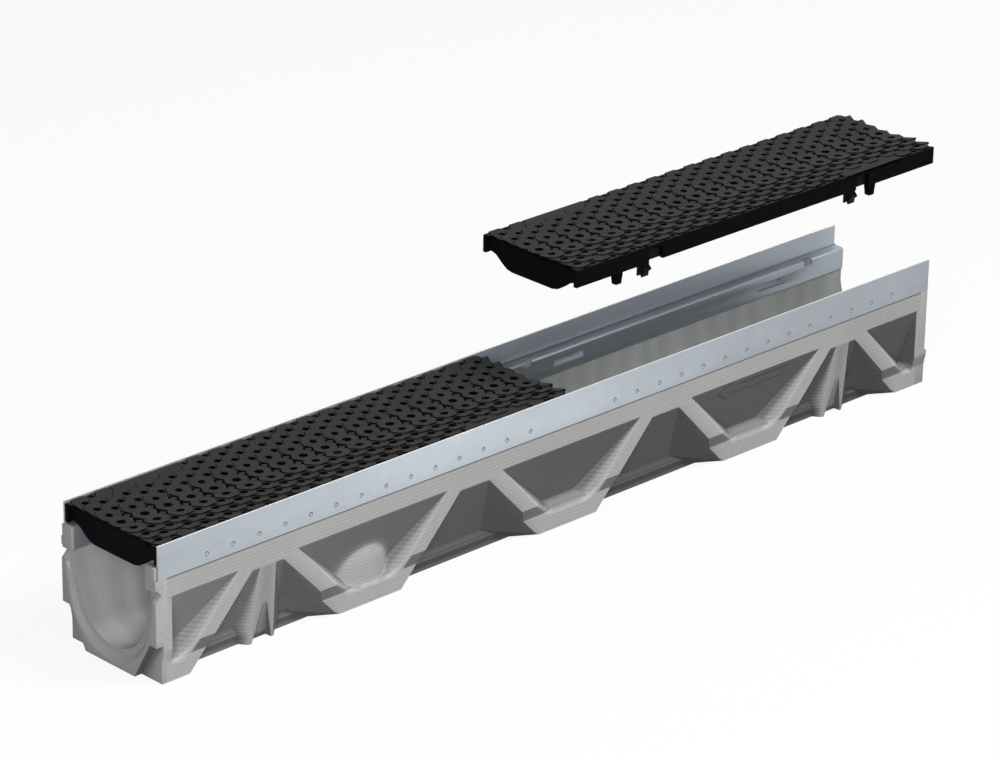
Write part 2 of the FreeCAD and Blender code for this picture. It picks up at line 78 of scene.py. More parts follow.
# Materials
class Graph:
    """A node tree, with short calls for the nodes used here."""

    def __init__(self, tree):
        self.nodes = tree.nodes
        self.links = tree.links

    def feed(self, socket, value):
        """Links an output to a socket, or sets the socket to a plain value or colour."""
        if isinstance(value, bpy.types.NodeSocket):
            self.links.new(value, socket)
        elif socket.type == "RGBA":
            socket.default_value = (*value, 1)
        else:
            socket.default_value = value

    def fill(self, node, inputs):
        for name, value in inputs.items():
            self.feed(node.inputs[name], value)

    def node(self, kind, inputs=None):
        node = self.nodes.new("ShaderNode" + kind)
        self.fill(node, inputs or {})
        return node

    def coordinates(self, scale=(1, 1, 1)):
        place = self.node("TexCoord").outputs["Object"]
        return self.node("Mapping", {"Vector": place, "Scale": scale}).outputs["Vector"]

    def along(self, vector, axis):
        return self.node("SeparateXYZ", {"Vector": vector}).outputs[axis]

    def noise(self, vector, scale, detail):
        return self.node("TexNoise", {"Vector": vector, "Scale": scale, "Detail": detail,
                                      "Roughness": 0.55}).outputs["Fac"]

    def cells(self, vector, scale, output):
        return self.node("TexVoronoi", {"Vector": vector, "Scale": scale}).outputs[output]

    def ramp(self, value, stops):
        """A colour ramp; each stop is a position and a colour."""
        node = self.node("ValToRGB", {"Fac": value})
        elements = node.color_ramp.elements
        for element, (position, color) in zip(elements, (stops[0], stops[-1])):
            element.position = position
            element.color = (*color, 1)
        for position, color in stops[1:-1]:
            elements.new(position).color = (*color, 1)
        return node.outputs["Color"]

    def greys(self, value, *stops):
        """A colour ramp through greys; each stop is a position and a brightness."""
        return self.ramp(value, [(position, (level,) * 3) for position, level in stops])

    def maths(self, operation, a, b=None):
        node = self.node("Math")
        node.operation = operation
        for socket, value in zip(node.inputs, (a, b)):
            if value is not None:
                self.feed(socket, value)
        return node.outputs["Value"]

    def scaled(self, value, factor, offset):
        return self.maths("ADD", self.maths("MULTIPLY", value, factor), offset)

    def smooth(self, value, low, high):
        """0 at low, 1 at high and a soft step between."""
        node = self.node("MapRange", {"From Min": low, "From Max": high, "Value": value})
        node.interpolation_type = "SMOOTHSTEP"
        return node.outputs["Result"]

    def mix(self, factor, a, b, blend="MULTIPLY"):
        node = self.node("Mix")
        node.data_type = "RGBA"
        node.blend_type = blend
        for name, value in (("Factor_Float", factor), ("A_Color", a), ("B_Color", b)):
            self.feed(next(s for s in node.inputs if s.identifier == name), value)
        return next(s for s in node.outputs if s.identifier == "Result_Color")

    def bump(self, height, strength, distance):
        return self.node("Bump", {"Height": height, "Strength": strength,
                                  "Distance": distance}).outputs["Normal"]

    def ray(self, *kinds):
        """1 for the named kinds of light ray, 0 for the others."""
        path = self.node("LightPath")
        found, *others = [path.outputs[f"Is {kind} Ray"] for kind in kinds]
        for other in others:
            found = self.maths("MAXIMUM", found, other)
        return found

    def blend(self, factor, first, second):
        """Two shaders mixed."""
        node = self.node("MixShader", {"Fac": factor})
        self.feed(node.inputs[1], first)
        self.feed(node.inputs[2], second)
        return node.outputs["Shader"]


def new_material(name):
    material = bpy.data.materials.new(name)
    material.use_nodes = True
    graph = Graph(material.node_tree)
    return material, graph, next(n for n in graph.nodes if n.type == "BSDF_PRINCIPLED")


LINE_PITCH = 0.00345
BAND_PITCH = 0.031


def concrete(name, pale, dark, lines=False, reflection_bands=0.0, painted_shading=True):
    """Cast concrete: cloudy colour and fine pores, with level lines, or with bands across that are
    painted reflections of lamps; if asked, it is multiplied by the painted light and shade kept on the
    mesh's face corners.
    """
    material, graph, shader = new_material(name)
    where = graph.coordinates()
    grain = graph.noise(where, 900.0, 3.0)
    height = graph.maths("MULTIPLY", grain, 0.12)
    color = graph.ramp(graph.noise(where, 9.0, 5.0), [(0.3, dark), (0.7, pale)])
    color = graph.mix(0.35, color, graph.greys(grain, (0.3, 0.55), (0.7, 1.0)))
    pores = graph.cells(where, 190.0, "Distance")
    color = graph.mix(0.12, color, graph.greys(pores, (0.05, 0.0), (0.13, 1.0)))
    # Painted light and shade: a colour kept on each face corner darkens pockets, creases, slits and
    # the line under the rails, and lightens the trough and some ramp edges.
    if painted_shading:
        painted_shade = graph.node("Attribute")
        painted_shade.attribute_name = "painted_shade"
        color = graph.mix(1.0, color, painted_shade.outputs["Color"])
    if lines:
        turns = graph.maths("MULTIPLY", graph.along(where, "Z"), 2 * math.pi / LINE_PITCH)
        shade = graph.scaled(graph.maths("SINE", turns), 0.5, 0.5)
        groove = graph.greys(shade, (0.0, 0.0), (0.6, 1.0))
        height = graph.maths("ADD", height, graph.maths("MULTIPLY", groove, 0.16))
        # The level lines show stronger where the painted shade is darker.
        shade_amount = graph.smooth(painted_shade.outputs["Fac"], 1.1, 0.3)
        stripe = graph.greys(shade, (0.0, 0.72), (0.6, 1.0))
        color = graph.mix(graph.scaled(shade_amount, 0.6, 0.3), color, stripe)
    # Painted reflections: soft lighter bands across the length stand in for lamps mirrored in the
    # trough.
    if reflection_bands:
        turns = graph.maths("MULTIPLY", graph.along(where, "X"), 2 * math.pi / BAND_PITCH)
        wobble = graph.maths("MULTIPLY", graph.noise(where, 14.0, 2.0), 9.0)
        wave = graph.maths("SINE", graph.maths("ADD", turns, wobble))
        stripe = graph.greys(graph.scaled(wave, 0.5, 0.5), (0.1, 0.86), (0.9, 1.0))
        color = graph.mix(reflection_bands, color, stripe)
    graph.fill(shader, {"Base Color": color, "Roughness": graph.greys(grain, (0.3, 0.82), (0.7, 0.95)),
                        "Specular IOR Level": 0.25, "Normal": graph.bump(height, 0.6, 0.0006)})
    return material


def galvanised(name, tone, metallic, painted_sheen=False):
    """Galvanised sheet: fine rolling marks along the rail and cloudy spangle, and, if asked, a painted
    sheen that brightens and dims along the rail's length.
    """
    material, graph, shader = new_material(name)
    where = graph.coordinates()
    marks = graph.noise(graph.coordinates((3, 900, 900)), 1.0, 3.0)
    cloud = graph.noise(graph.coordinates((4, 14, 14)), 1.0, 3.0)
    color = graph.ramp(cloud, [(0.3, tuple(0.86 * c for c in tone)), (0.7, tone)])
    spangle = graph.cells(where, 85.0, "Color")
    color = graph.mix(0.5, color, graph.greys(spangle, (0.0, 0.9), (1.0, 1.0)))
    # Painted sheen: lighter and darker stretches along the rail stand in for the lamps' reflection.
    if painted_sheen:
        along = graph.maths("ADD", graph.along(where, "X"), 0.5)
        sheen = graph.greys(along, (0.05, 0.92), (0.3, 1.12), (0.5, 1.08), (0.7, 0.84), (0.92, 0.72))
        color = graph.mix(1.0, color, sheen)
    graph.fill(shader, {"Base Color": color, "Metallic": metallic,
                        "Roughness": graph.greys(marks, (0.3, 0.36), (0.7, 0.5)),
                        "Normal": graph.bump(marks, 0.25, 0.0002)})
    return material


def cast_iron(name, tone, roughness, specular):
    """Coated cast iron: sand-cast grain with slightly rubbed high spots."""
    material, graph, shader = new_material(name)
    where = graph.coordinates()
    grain = graph.noise(where, 1400.0, 3.0)
    cloud = graph.noise(where, 30.0, 4.0)
    color = graph.ramp(cloud, [(0.3, tuple(0.75 * c for c in tone)), (0.7, tone)])
    color = graph.mix(0.5, color, graph.greys(grain, (0.35, 0.7), (0.75, 1.15)))
    rough = graph.greys(grain, (0.3, roughness - 0.08), (0.7, roughness + 0.08))
    graph.fill(shader, {"Base Color": color, "Roughness": rough, "Specular IOR Level": specular,
                        "Normal": graph.bump(grain, 0.5, 0.0004)})
    return material


def plastic(name, tone):
    """Moulded plastic with a fine grain."""
    material, graph, shader = new_material(name)
    grain = graph.noise(graph.coordinates(), 2500.0, 2.0)
    color = graph.ramp(grain, [(0.3, tuple(0.8 * c for c in tone)), (0.7, tone)])
    graph.fill(shader, {"Base Color": color, "Roughness": graph.greys(grain, (0.3, 0.42), (0.7, 0.55)),
                        "Specular IOR Level": 0.06, "Normal": graph.bump(grain, 0.3, 0.0001)})
    return material


SIDE = concrete("concrete_side", (0.425, 0.425, 0.42), (0.385, 0.385, 0.38), lines=True)
# The trough's concrete is a paler copy of the sides' concrete: painted light where the lamps reach the
# trough less, with painted reflection bands.
BORE_LIT = concrete("concrete_bore_lit", (0.50, 0.51, 0.505), (0.44, 0.45, 0.445), reflection_bands=0.8)
# The ends' concrete is a darker copy of the sides' concrete: painted shade for the faces turned from
# the key lamp.
END_SHADED = concrete("concrete_end_shaded", (0.345, 0.35, 0.345), (0.305, 0.31, 0.305))
STEEL = galvanised("galvanised_sheet", (0.56, 0.61, 0.66), 0.8, painted_sheen=True)
# A darker copy of the sheet for the rails' inner faces: painted shade.
STEEL_SHADED = galvanised("galvanised_shaded_inside", (0.40, 0.44, 0.485), 0.8)
# Painted shadow line in the groove under the bead.
STEEL_GROOVE_SHADOW = galvanised("galvanised_groove_shadow", (0.16, 0.18, 0.20), 0.5)
# Painted shade inside the pressed dimples.
STEEL_DENT_SHADE = galvanised("galvanised_dent_shade", (0.44, 0.475, 0.51), 0.25)
# Painted highlight along the rails' top edge.
STEEL_HIGHLIGHT = galvanised("galvanised_highlight", (0.86, 0.88, 0.9), 0.1)
# Dark strokes for the flow arrow: painted shade standing in for engraved grooves.
MARK_SHADE = concrete("concrete_mark_shade", (0.07, 0.07, 0.07), (0.05, 0.05, 0.05), painted_shading=False)
IRON_TOP = cast_iron("iron_top", (0.024, 0.024, 0.0245), 0.62, 0.1)
# The sides, skirts, hole walls, walls, ribs and slab take a much darker copy of the iron: painted
# shade.
IRON_SHADED = cast_iron("iron_shaded_copy", (0.003, 0.003, 0.0036), 0.65, 0.02)
CLIP = plastic("clip_plastic", (0.0025, 0.0025, 0.003))


# Mesh building
def evaluated_mesh(thing):
    """The mesh of an object as it is with its modifiers."""
    bpy.context.view_layer.update()
    evaluated = thing.evaluated_get(bpy.context.evaluated_depsgraph_get())
    return bpy.data.meshes.new_from_object(evaluated)


def give(mesh, materials):
    for material in materials:
        mesh.materials.append(material)


class Builder:
    """Gathers points, given in millimetres, and faces for one mesh."""

    def __init__(self):
        self.vertices = []
        self.faces = []
        self.slots = []

    def add(self, points, faces, slot=0, dark=()):
        """Adds faces in one material slot, and dark faces of the same points in slot 1, the much
        darker copy that paints shade on sides and rims.
        """
        start = len(self.vertices)
        self.vertices += [tuple(c * MM for c in p) for p in points]
        for group, index in ((faces, slot), (dark, 1)):
            self.faces += [tuple(start + i for i in f) for f in group]
            self.slots += [index] * len(group)

    def prism(self, outline, low, high, slot=0, axes=(0, 1, 2)):
        """A closed outline in two axes carried along the third from low to high."""
        n = len(outline)

        def at(p, h):
            point = [0, 0, 0]
            point[axes[0]], point[axes[1]], point[axes[2]] = p[0], p[1], h
            return point

        points = [at(p, low) for p in outline] + [at(p, high) for p in outline]
        faces = [tuple(range(n)), tuple(range(2 * n - 1, n - 1, -1))]
        faces += [(i, n + i, n + (i + 1) % n, (i + 1) % n) for i in range(n)]
        self.add(points, faces, slot)

    def build(self, name, materials):
        mesh = bpy.data.meshes.new(name)
        mesh.from_pydata(self.vertices, [], self.faces)
        give(mesh, materials)
        mesh.polygons.foreach_set("material_index", self.slots)
        work = bmesh.new()
        work.from_mesh(mesh)
        bmesh.ops.recalc_face_normals(work, faces=work.faces)
        work.to_mesh(mesh)
        work.free()
        return add_object(name, mesh)


# Gratings
GRATE_HALF_L = 248.7
GRATE_HALF_W = 62.0
GRATE_X = 251.0
GRATE_LIFT = 121.4
PITCH = 26.25
ROW_HALF = 9 * PITCH
STEP = 124.0 / 15
HEX_R = PITCH / 2
HEX_H = HEX_R * math.sin(math.radians(60))
ROW_Z = 132.45
TILT = 0.1
CENTRE_Z = 131.95
SLAB_TOP = 130.6
SLAB_BOTTOM = 127.6
SLAB_HALF_W = GRATE_HALF_W - 0.5
FAR_END = GRATE_HALF_L + 4.0
NEAR_END = -GRATE_HALF_L + 1.5
PLATE_HALF_W = GRATE_HALF_W - 0.25
WEB_HALF = (4.5, 3.4)
WEB_DROP = 0.9
MIDDLE_HOLE = 4.6
RIGHT_HOLE = 4.3
LEFT_HOLE = 3.7
OUTER_HOLE = 3.3
OUTER_HOLE_Y = 57.0
HOLE_DEPTH = 4.4
LIP_RUN = 0.3
LIP_DROP = 0.35
WALL = 4.0
WALL_BOTTOM = 114.6
WALL_TOP = 131.6
NOTCHES = ((-153.0, -135.0), (135.0, 153.0))
PRONG_PLACES = (-176.5, 176.5)
PRONG_TIP = 94.6
RIB_PLACES = (-242.0, -120.0, 120.0, 242.0)
RIB_HALF_THICK = 3.0


def circle(x, y, radius, sides):
    return [(x + radius * math.cos(2 * math.pi * k / sides),
             y + radius * math.sin(2 * math.pi * k / sides)) for k in range(sides)]


def cut_by_line(outline, keep):
    """The part of a convex outline where keep(point) is not negative."""
    result = []
    for i, a in enumerate(outline):
        b = outline[(i + 1) % len(outline)]
        ka, kb = keep(a), keep(b)
        if ka >= 0:
            result.append(a)
        if (ka < 0) != (kb < 0):
            t = ka / (ka - kb)
            result.append((a[0] + t * (b[0] - a[0]), a[1] + t * (b[1] - a[1])))
    return result


def inset(outline, distance):
    """A convex outline, wound either way, moved inwards."""
    n = len(outline)
    area = sum(outline[i][0] * outline[(i + 1) % n][1] - outline[(i + 1) % n][0] * outline[i][1]
               for i in range(n))
    sign = 1 if area > 0 else -1
    lines = []
    for i in range(n):
        (ax, ay), (bx, by) = outline[i], outline[(i + 1) % n]
        length = math.hypot(bx - ax, by - ay)
        nx, ny = -sign * (by - ay) / length, sign * (bx - ax) / length
        lines.append((nx, ny, nx * ax + ny * ay + distance))
    points = []
    for i in range(n):
        a, b = lines[i - 1], lines[i]
        det = a[0] * b[1] - a[1] * b[0]
        points.append(((a[2] * b[1] - a[1] * b[2]) / det, (a[0] * b[2] - a[2] * b[0]) / det))
    return points


def ring_faces(outer, inner, outer_points, inner_points):
    """Faces between an outline and a hole inside it, matched by angle."""
    cx = sum(p[0] for p in inner_points) / len(inner_points)
    cy = sum(p[1] for p in inner_points) / len(inner_points)

    def angle(p):
        return math.atan2(p[1] - cy, p[0] - cx) % (2 * math.pi)

    a = sorted(zip(map(angle, outer_points), outer), key=lambda pair: pair[0])
    b = sorted(zip(map(angle, inner_points), inner), key=lambda pair: pair[0])
    faces = []
    i = j = 0
    while i < len(a) or j < len(b):
        next_a = a[i][0] if i < len(a) else 9
        next_b = b[j][0] if j < len(b) else 9
        if next_a <= next_b:
            faces.append((a[i - 1][1], a[i % len(a)][1], b[(j - 1) % len(b)][1]))
            i += 1
        else:
            faces.append((b[j - 1][1], a[(i - 1) % len(a)][1], b[j % len(b)][1]))
            j += 1
    return faces


def tile(builder, outline, surface, hole=None, chamfer=0.3, drop=0.25, skirt=1.9, shaded_rim=False):
    """A cast plate: rim (dark with painted shade when asked), skirt below in painted shade and, if
    given, a hole through it whose lower wall is in painted shade.
    """
    if len(outline) < 3:
        return
    top = inset(outline, chamfer)
    n = len(outline)
    points = [(x, y, surface(x, y)) for x, y in top]
    points += [(x, y, surface(x, y) - drop) for x, y in outline]
    points += [(x, y, max(surface(x, y) - skirt, SLAB_BOTTOM + 0.2)) for x, y in outline]
    faces = []
    dark = []
    for k in range(n):
        m = (k + 1) % n
        (dark if shaded_rim else faces).append((k, m, n + m, n + k))
        dark.append((n + k, n + m, 2 * n + m, 2 * n + k))
    if hole is None:
        faces.append(tuple(range(n)))
        builder.add(points, faces, 0, dark)
        return
    cx, cy, radius, sides = hole
    rim = circle(cx, cy, radius, sides)
    lip = circle(cx, cy, radius - LIP_RUN, sides)
    s = len(rim)
    base = len(points)
    points += [(x, y, surface(x, y)) for x, y in rim]
    points += [(x, y, surface(x, y) - LIP_DROP) for x, y in lip]
    points += [(x, y, surface(cx, cy) - HOLE_DEPTH) for x, y in lip]
    faces += ring_faces(list(range(n)), list(range(base, base + s)), top, rim)
    for k in range(s):
        m = (k + 1) % s
        faces.append((base + k, base + m, base + s + m, base + s + k))
        dark.append((base + s + k, base + s + m, base + 2 * s + m, base + 2 * s + k))
    builder.add(points, faces, 0, dark)


def row_x(row):
    """Centres of the hexagons in a row; odd rows are half a pitch off and one longer."""
    shift, count = (0.5, 20) if row % 2 else (0, 19)
    return [-ROW_HALF + (i - shift) * PITCH for i in range(count)]


def is_patch(row, x):
    """The bare places: one plate near each corner and one strip on each side."""
    if abs(row) != 6:
        return None
    column = round((x + ROW_HALF) / PITCH)
    if column in (1, 17):
        return "bare"
    strip = (2, 3, 4) if row > 0 else (14, 15, 16)
    return "strip" if column in strip else None


def clip_to_plate(outline, row):
    """A hexagon cut back to the grating's sides and zigzag ends."""
    side = 1 if row > 0 else -1
    base = abs(row) * STEP
    far = FAR_END - 1.0 if row % 2 else GRATE_HALF_L + 0.6
    if abs(row) == 7:
        far = GRATE_HALF_L - 2.0
    keeps = [lambda p: p[0] - NEAR_END, lambda p: PLATE_HALF_W - p[1],
             lambda p: PLATE_HALF_W + p[1], lambda p: far - p[0]]
    if row % 2 and abs(row) != 7:
        keeps.append(lambda p: (GRATE_HALF_L - 2.2 - p[0]) * HEX_H + 6.2 * (side * p[1] - base))
    for keep in keeps:
        outline = cut_by_line(outline, keep)
    return outline


def outer_row_open(x, side):
    """Whether the outermost row keeps its half holes here, clear of the bare strip."""
    column = (x + ROW_HALF) / PITCH
    if side > 0:
        return not 1.6 < column < 4.4
    return not 13.6 < column < 16.4


def middle_web(builder, x, y):
    """The small plate across a bow-tie opening."""
    across, along = WEB_HALF
    outline = [(x - across, y), (x, y - along), (x + across, y), (x, y + along)]
    tile(builder, outline, lambda px, py: CENTRE_Z - WEB_DROP, None, 0.3, 0.4, 2.6)


def hexagon(builder, row, x):
    """One plate of the honeycomb top, with its hole if it is whole."""
    side = 1 if row > 0 else -1
    y = row * STEP
    outline = clip_to_plate(circle(x, y, HEX_R, 6), row)
    patch = is_patch(row, x)
    whole = abs(x) < ROW_HALF + 1 and patch is None
    if patch == "strip":
        return
    if row == 0:
        tile(builder, outline, lambda px, py: CENTRE_Z, (x, y, MIDDLE_HOLE, 18), 0.6, 0.7, shaded_rim=True)
    elif abs(row) == 7:
        hole = (x, side * OUTER_HOLE_Y, OUTER_HOLE, 12) if whole and outer_row_open(x, side) else None
        tile(builder, outline, lambda px, py: ROW_Z - 0.45, hole)
    else:
        hole = (x, y, LEFT_HOLE if side > 0 else RIGHT_HOLE, 14) if whole else None
        tile(builder, outline, lambda px, py: ROW_Z + TILT * side * (py - y), hole, 0.4, 0.5,
             shaded_rim=True)


def bare_strip(builder, side):
    """The smooth strip along one edge, at opposite ends on the two sides."""
    x0, x1 = (-PITCH * 7.6, -PITCH * 4.55) if side > 0 else (PITCH * 4.55, PITCH * 7.6)
    inner, outer = side * 46.5, side * GRATE_HALF_W
    tile(builder, [(x0, inner), (x1, inner), (x1, outer), (x0, outer)],
         lambda px, py: ROW_Z + 0.25, None, 0.5, 0.4, 2.6)


def shingles(builder):
    """All plates of the honeycomb top, row by row."""
    for row in range(-7, 8):
        if abs(row) == 1:
            for x in row_x(row)[1:-1]:
                middle_web(builder, x, row * STEP)
        else:
            for x in row_x(row):
                hexagon(builder, row, x)
    for side in (-1, 1):
        bare_strip(builder, side)


def slab_outline():
    """The slab's rim: stepped at the far end, zigzag at the near end."""
    edge = SLAB_HALF_W
    end = GRATE_HALF_L
    half = [(end + 0.3, 0)]
    for y in (STEP, 3 * STEP, 5 * STEP):
        half += [(end - 2.4, y), (end + 2.7, y + HEX_H - 2.2), (end + 2.7, y + HEX_H - 0.4),
                 (end - 2.4, y + HEX_H - 0.2)]
    far = [(x, -y) for x, y in reversed(half)] + half[1:]
    near = [(-end + 1.6 + (2.5 if row % 2 else 0), -row * STEP) for row in range(-7, 8)]
    return ([(end - 2.4, -edge)] + far + [(end - 2.4, edge), (-end + 1.6, edge)] + near
            + [(-end + 1.6, -edge)])


def make_slab():
    """The plate under the hexagons, filled around every opening."""
    curve = bpy.data.curves.new("slab", "CURVE")
    curve.dimensions = "2D"
    curve.fill_mode = "BOTH"
    curve.extrude = (SLAB_TOP - SLAB_BOTTOM) / 2 * MM

    def loop(points):
        spline = curve.splines.new("POLY")
        spline.points.add(len(points) - 1)
        for point, (x, y) in zip(spline.points, points):
            point.co = (x * MM, y * MM, 0, 1)
        spline.use_cyclic_u = True

    loop(slab_outline())
    for row in range(-6, 7):
        for x in row_x(row):
            if abs(x) > ROW_HALF + 1 or is_patch(row, x):
                continue
            if row == 0:
                loop(circle(x, 0, 4.4, 18))
            elif abs(row) == 1:
                side = 1 if row > 0 else -1
                loop([(x, side * 2.2), (x + 4.2, side * 8.4), (x + 2.0, side * 12.4),
                      (x - 2.0, side * 12.4), (x - 4.2, side * 8.4)])
            else:
                loop(circle(x, row * STEP, 3.3, 12))
    holder = add_object("slab", curve)
    mesh = evaluated_mesh(holder)
    bpy.data.objects.remove(holder)
    bpy.data.curves.remove(curve)
    mesh.transform(Matrix.Translation((0, 0, (SLAB_TOP + SLAB_BOTTOM) / 2 * MM)))
    # The slab takes the darker iron throughout: painted shade.
    mesh.polygons.foreach_set("material_index", [1] * len(mesh.polygons))
    return add_object("slab", mesh)


def grating_walls(builder):
    """Side walls with notches for the clips, prongs and cross ribs."""
    end = GRATE_HALF_L
    for side in (-1, 1):
        low, high = sorted((side * GRATE_HALF_W, side * (GRATE_HALF_W - WALL)))
        outline = [(-end, WALL_BOTTOM)]
        for a, b in NOTCHES:
            outline += [(a, WALL_BOTTOM), (a, SLAB_BOTTOM), (b, SLAB_BOTTOM), (b, WALL_BOTTOM)]
        outline += [(end, WALL_BOTTOM), (end, WALL_TOP), (-end, WALL_TOP)]
        builder.prism(outline, low, high, 1, (0, 2, 1))
        for x in PRONG_PLACES:
            prong(builder, x, side)
    for x in RIB_PLACES:
        cross_rib(builder, x)


def cross_rib(builder, x):
    """A rib across the grating with a belly towards the trough."""
    half = [(26.5, 102.7), (33.5, 104.2), (40.5, 108.7), (48.0, WALL_BOTTOM), (58.0, 117.6),
            (58.0, SLAB_BOTTOM + 0.5)]
    outline = half + [(-y, z) for y, z in reversed(half)]
    builder.prism(outline, x - RIB_HALF_THICK, x + RIB_HALF_THICK, 1, (1, 2, 0))


def prong(builder, x, side):
    """A tapering locating prong and the web that ties it to the side wall."""
    inner, outer = sorted((side * 40.0, side * 46.0))
    top = SLAB_BOTTOM + 0.5
    outline = [(x - 7, top), (x - 7, WALL_BOTTOM), (x - 3.5, PRONG_TIP), (x + 3.5, PRONG_TIP),
               (x + 7, WALL_BOTTOM), (x + 7, top)]
    builder.prism(outline, inner, outer, 1, (0, 2, 1))
    near, far = sorted((side * 45.0, side * 59.0))
    web = [(x - 3.5, near), (x + 3.5, near), (x + 3.5, far), (x - 3.5, far)]
    builder.prism(web, WALL_BOTTOM + 1, top, 1)


def soften(piece, width, angle=25.0):
    """Small rounded edges all over a hard piece."""
    modifier = piece.modifiers.new("edges", "BEVEL")
    modifier.width = width * MM
    modifier.segments = 2
    modifier.limit_method = "ANGLE"
    modifier.angle_limit = math.radians(angle)
    modifier.use_clamp_overlap = True
    modifier.harden_normals = False


def apply_modifiers(piece):
    mesh = evaluated_mesh(piece)
    piece.modifiers.clear()
    piece.data = mesh


def join_pieces(name, pieces):
    """Several objects as one, with the materials of the first."""
    mesh = bpy.data.meshes.new(name)
    work = bmesh.new()
    for piece in pieces:
        work.from_mesh(piece.data)
    work.to_mesh(mesh)
    work.free()
    give(mesh, pieces[0].data.materials)
    for piece in pieces:
        bpy.data.objects.remove(piece)
    return add_object(name, mesh)


def make_gratings():
    """One grating, placed in its seat and lifted."""
    walls = Builder()
    grating_walls(walls)
    base = walls.build("grating_frame", [IRON_TOP, IRON_SHADED])
    soften(base, 0.3)
    apply_modifiers(base)
    plates = Builder()
    shingles(plates)
    top = plates.build("grating_top", [IRON_TOP, IRON_SHADED])
    grating = join_pieces("grating", [base, make_slab(), top])
    for word, x, z in (("seated", -GRATE_X, 0.0), ("raised", GRATE_X, GRATE_LIFT)):
        mesh = grating.data.copy()
        mesh.transform(Matrix.Translation((x * MM, 0, z * MM)))
        piece = add_object(word + "_honeycomb", mesh)
        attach(piece, word + "_cover")
        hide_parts(word + "_grating")
    bpy.data.objects.remove(grating)


# Concrete: the ends and trough are the solid's own; the sides and base are modelled as relief
HALF_L = 500.0
HALF_W = 64.0
END_POST = 485.0
SIDE_REACH = 490.0
SIDE_TOP = 101.5
SKIRT_Z = 100.4
FOOT_LOW = 20.0
FOOT_TOP = 31.5
FOOT_BACK = 2.5
POCKET_REACH = 92.0
POCKET_DEEP = 18.0
CLOSED_CENTRES = (-500.0, -250.0, 0.0, 250.0, 500.0)
CLOSED_TOP = 82.5
CLOSED_HALF_TOP = 90.5
CLOSED_HALF_FLOOR = 21.0
SILL_Z = 16.0
CREASE_Z = 23.5
WALL_RUN = 59.5
WALL_FALL = CLOSED_TOP - SILL_Z
WALL_LENGTH = 89.23
RAMP_SLOPE = 1.446
RAMP_POWER = 1.55
SILL_POWER = 1.4
OPEN_CENTRES = (-375.0, -125.0, 125.0, 375.0)
OPEN_TOP = 77.5
OPEN_HALF_TOP = 18.0
OPEN_HALF_FLOOR = 24.0
OPEN_HALF_FOOT = 91.0
OPEN_RUN = OPEN_HALF_FOOT - OPEN_HALF_TOP
OPEN_CORNER = OPEN_TOP * OPEN_HALF_FOOT
STEEP = 0.0141
GENTLE = 0.004685
FOLD_START, FOLD_X, FOLD_Z = 56.48, 0.6207, 1.2748
BEAD_TOP = 18.5
BEAD_HEIGHT = 15.0
BEAD_SWELL = 1.3
FLOOR_FALL = OPEN_TOP - BEAD_TOP
FLOOR_SLOPE = POCKET_DEEP / FLOOR_FALL
NOTCH_WIDTH = 17.0
RIB_CENTRES = (-375.0, 375.0)
RIB_BACK = 10.0
RIB_HALF, RIB_SPREAD = 9.0, 4.5
SLIT_HALF, SLIT_SPREAD = 2.5, 9.0
SLIT_TOP = 39.0
SLIT_DEEP = 7.0
BOSS_CENTRE = -250.0
BOSS_Z = 37.0
BOSS_BACK = 4.6
BOSS_FALL = 14.0
BOSS_RIGHT, BOSS_LEFT, BOSS_RISE = 34.0, 43.0, 36.0
TROUGH_Z, TROUGH_R = 62.4, 49.0
RECESS_FOOT, RECESS_RUN, RECESS_RISE = 33.0, 22.0, 38.0
RECESS_SLANT = 0.866
SHARP_ANGLE = math.radians(28)
FLAT_ANGLE = math.radians(0.6)


def ease(t, low, high):
    """0 below low, 1 above high and smooth between."""
    t = min(1.0, max(0.0, (t - low) / (high - low)))
    return t * t * (3 - 2 * t)


def foot_step(z):
    """How far the plain face stands back from the plane of the rails."""
    return FOOT_BACK * min(1.0, max(0.0, (FOOT_TOP - z) / (FOOT_TOP - FOOT_LOW)))


def floor_depth(top, z):
    """The back of a pocket: it slopes in from its top down to its full depth."""
    return min((top - z) * FLOOR_SLOPE, POCKET_DEEP)


def closed_place(x, z):
    """How far a point lies across the ramp and up the sill of a closed pocket, 0 to 1."""
    if not SILL_Z < z < CLOSED_TOP:
        return 0.0, 0.0
    inside = ((CLOSED_HALF_TOP - abs(x)) * WALL_FALL - (CLOSED_TOP - z) * WALL_RUN) / WALL_LENGTH
    across = max(0.0, inside * RAMP_SLOPE / floor_depth(CLOSED_TOP, z))
    return min(1.0, across), min(1.0, (z - SILL_Z) / (CREASE_Z - SILL_Z))


def closed_depth(x, z):
    """A tapering pocket whose ramps and sill run smoothly out into the face."""
    across, rise = closed_place(x, z)
    step = foot_step(z)
    return step + (floor_depth(CLOSED_TOP, z) - step) * across ** RAMP_POWER * rise ** SILL_POWER


def open_floor(z):
    """The back of an open pocket, with a rounded bead along its foot."""
    bead = 0.0
    if z < BEAD_TOP:
        turn = 2 * math.pi * min(1.0, (BEAD_TOP - z) / BEAD_HEIGHT)
        bead = BEAD_SWELL - BEAD_SWELL * math.cos(turn)
    return floor_depth(OPEN_TOP, z) - bead


def open_planes(x, z):
    """Depth of an open pocket's side planes: one steep on the left, two gentle on the right."""
    inside = OPEN_CORNER - OPEN_TOP * abs(x) - OPEN_RUN * z
    if x < 0:
        return inside * STEEP, inside * STEEP
    return inside * GENTLE, FOLD_START - FOLD_X * x - FOLD_Z * z


def wall_reach(z, depth, slope):
    """How far out a side plane of an open pocket has the given depth at a height."""
    return (OPEN_CORNER - OPEN_RUN * z - depth / slope) / OPEN_TOP


def fold_reach(z, depth):
    """The same for the plane that folds between the right wall and the floor."""
    return (FOLD_START - FOLD_Z * z - depth) / FOLD_X


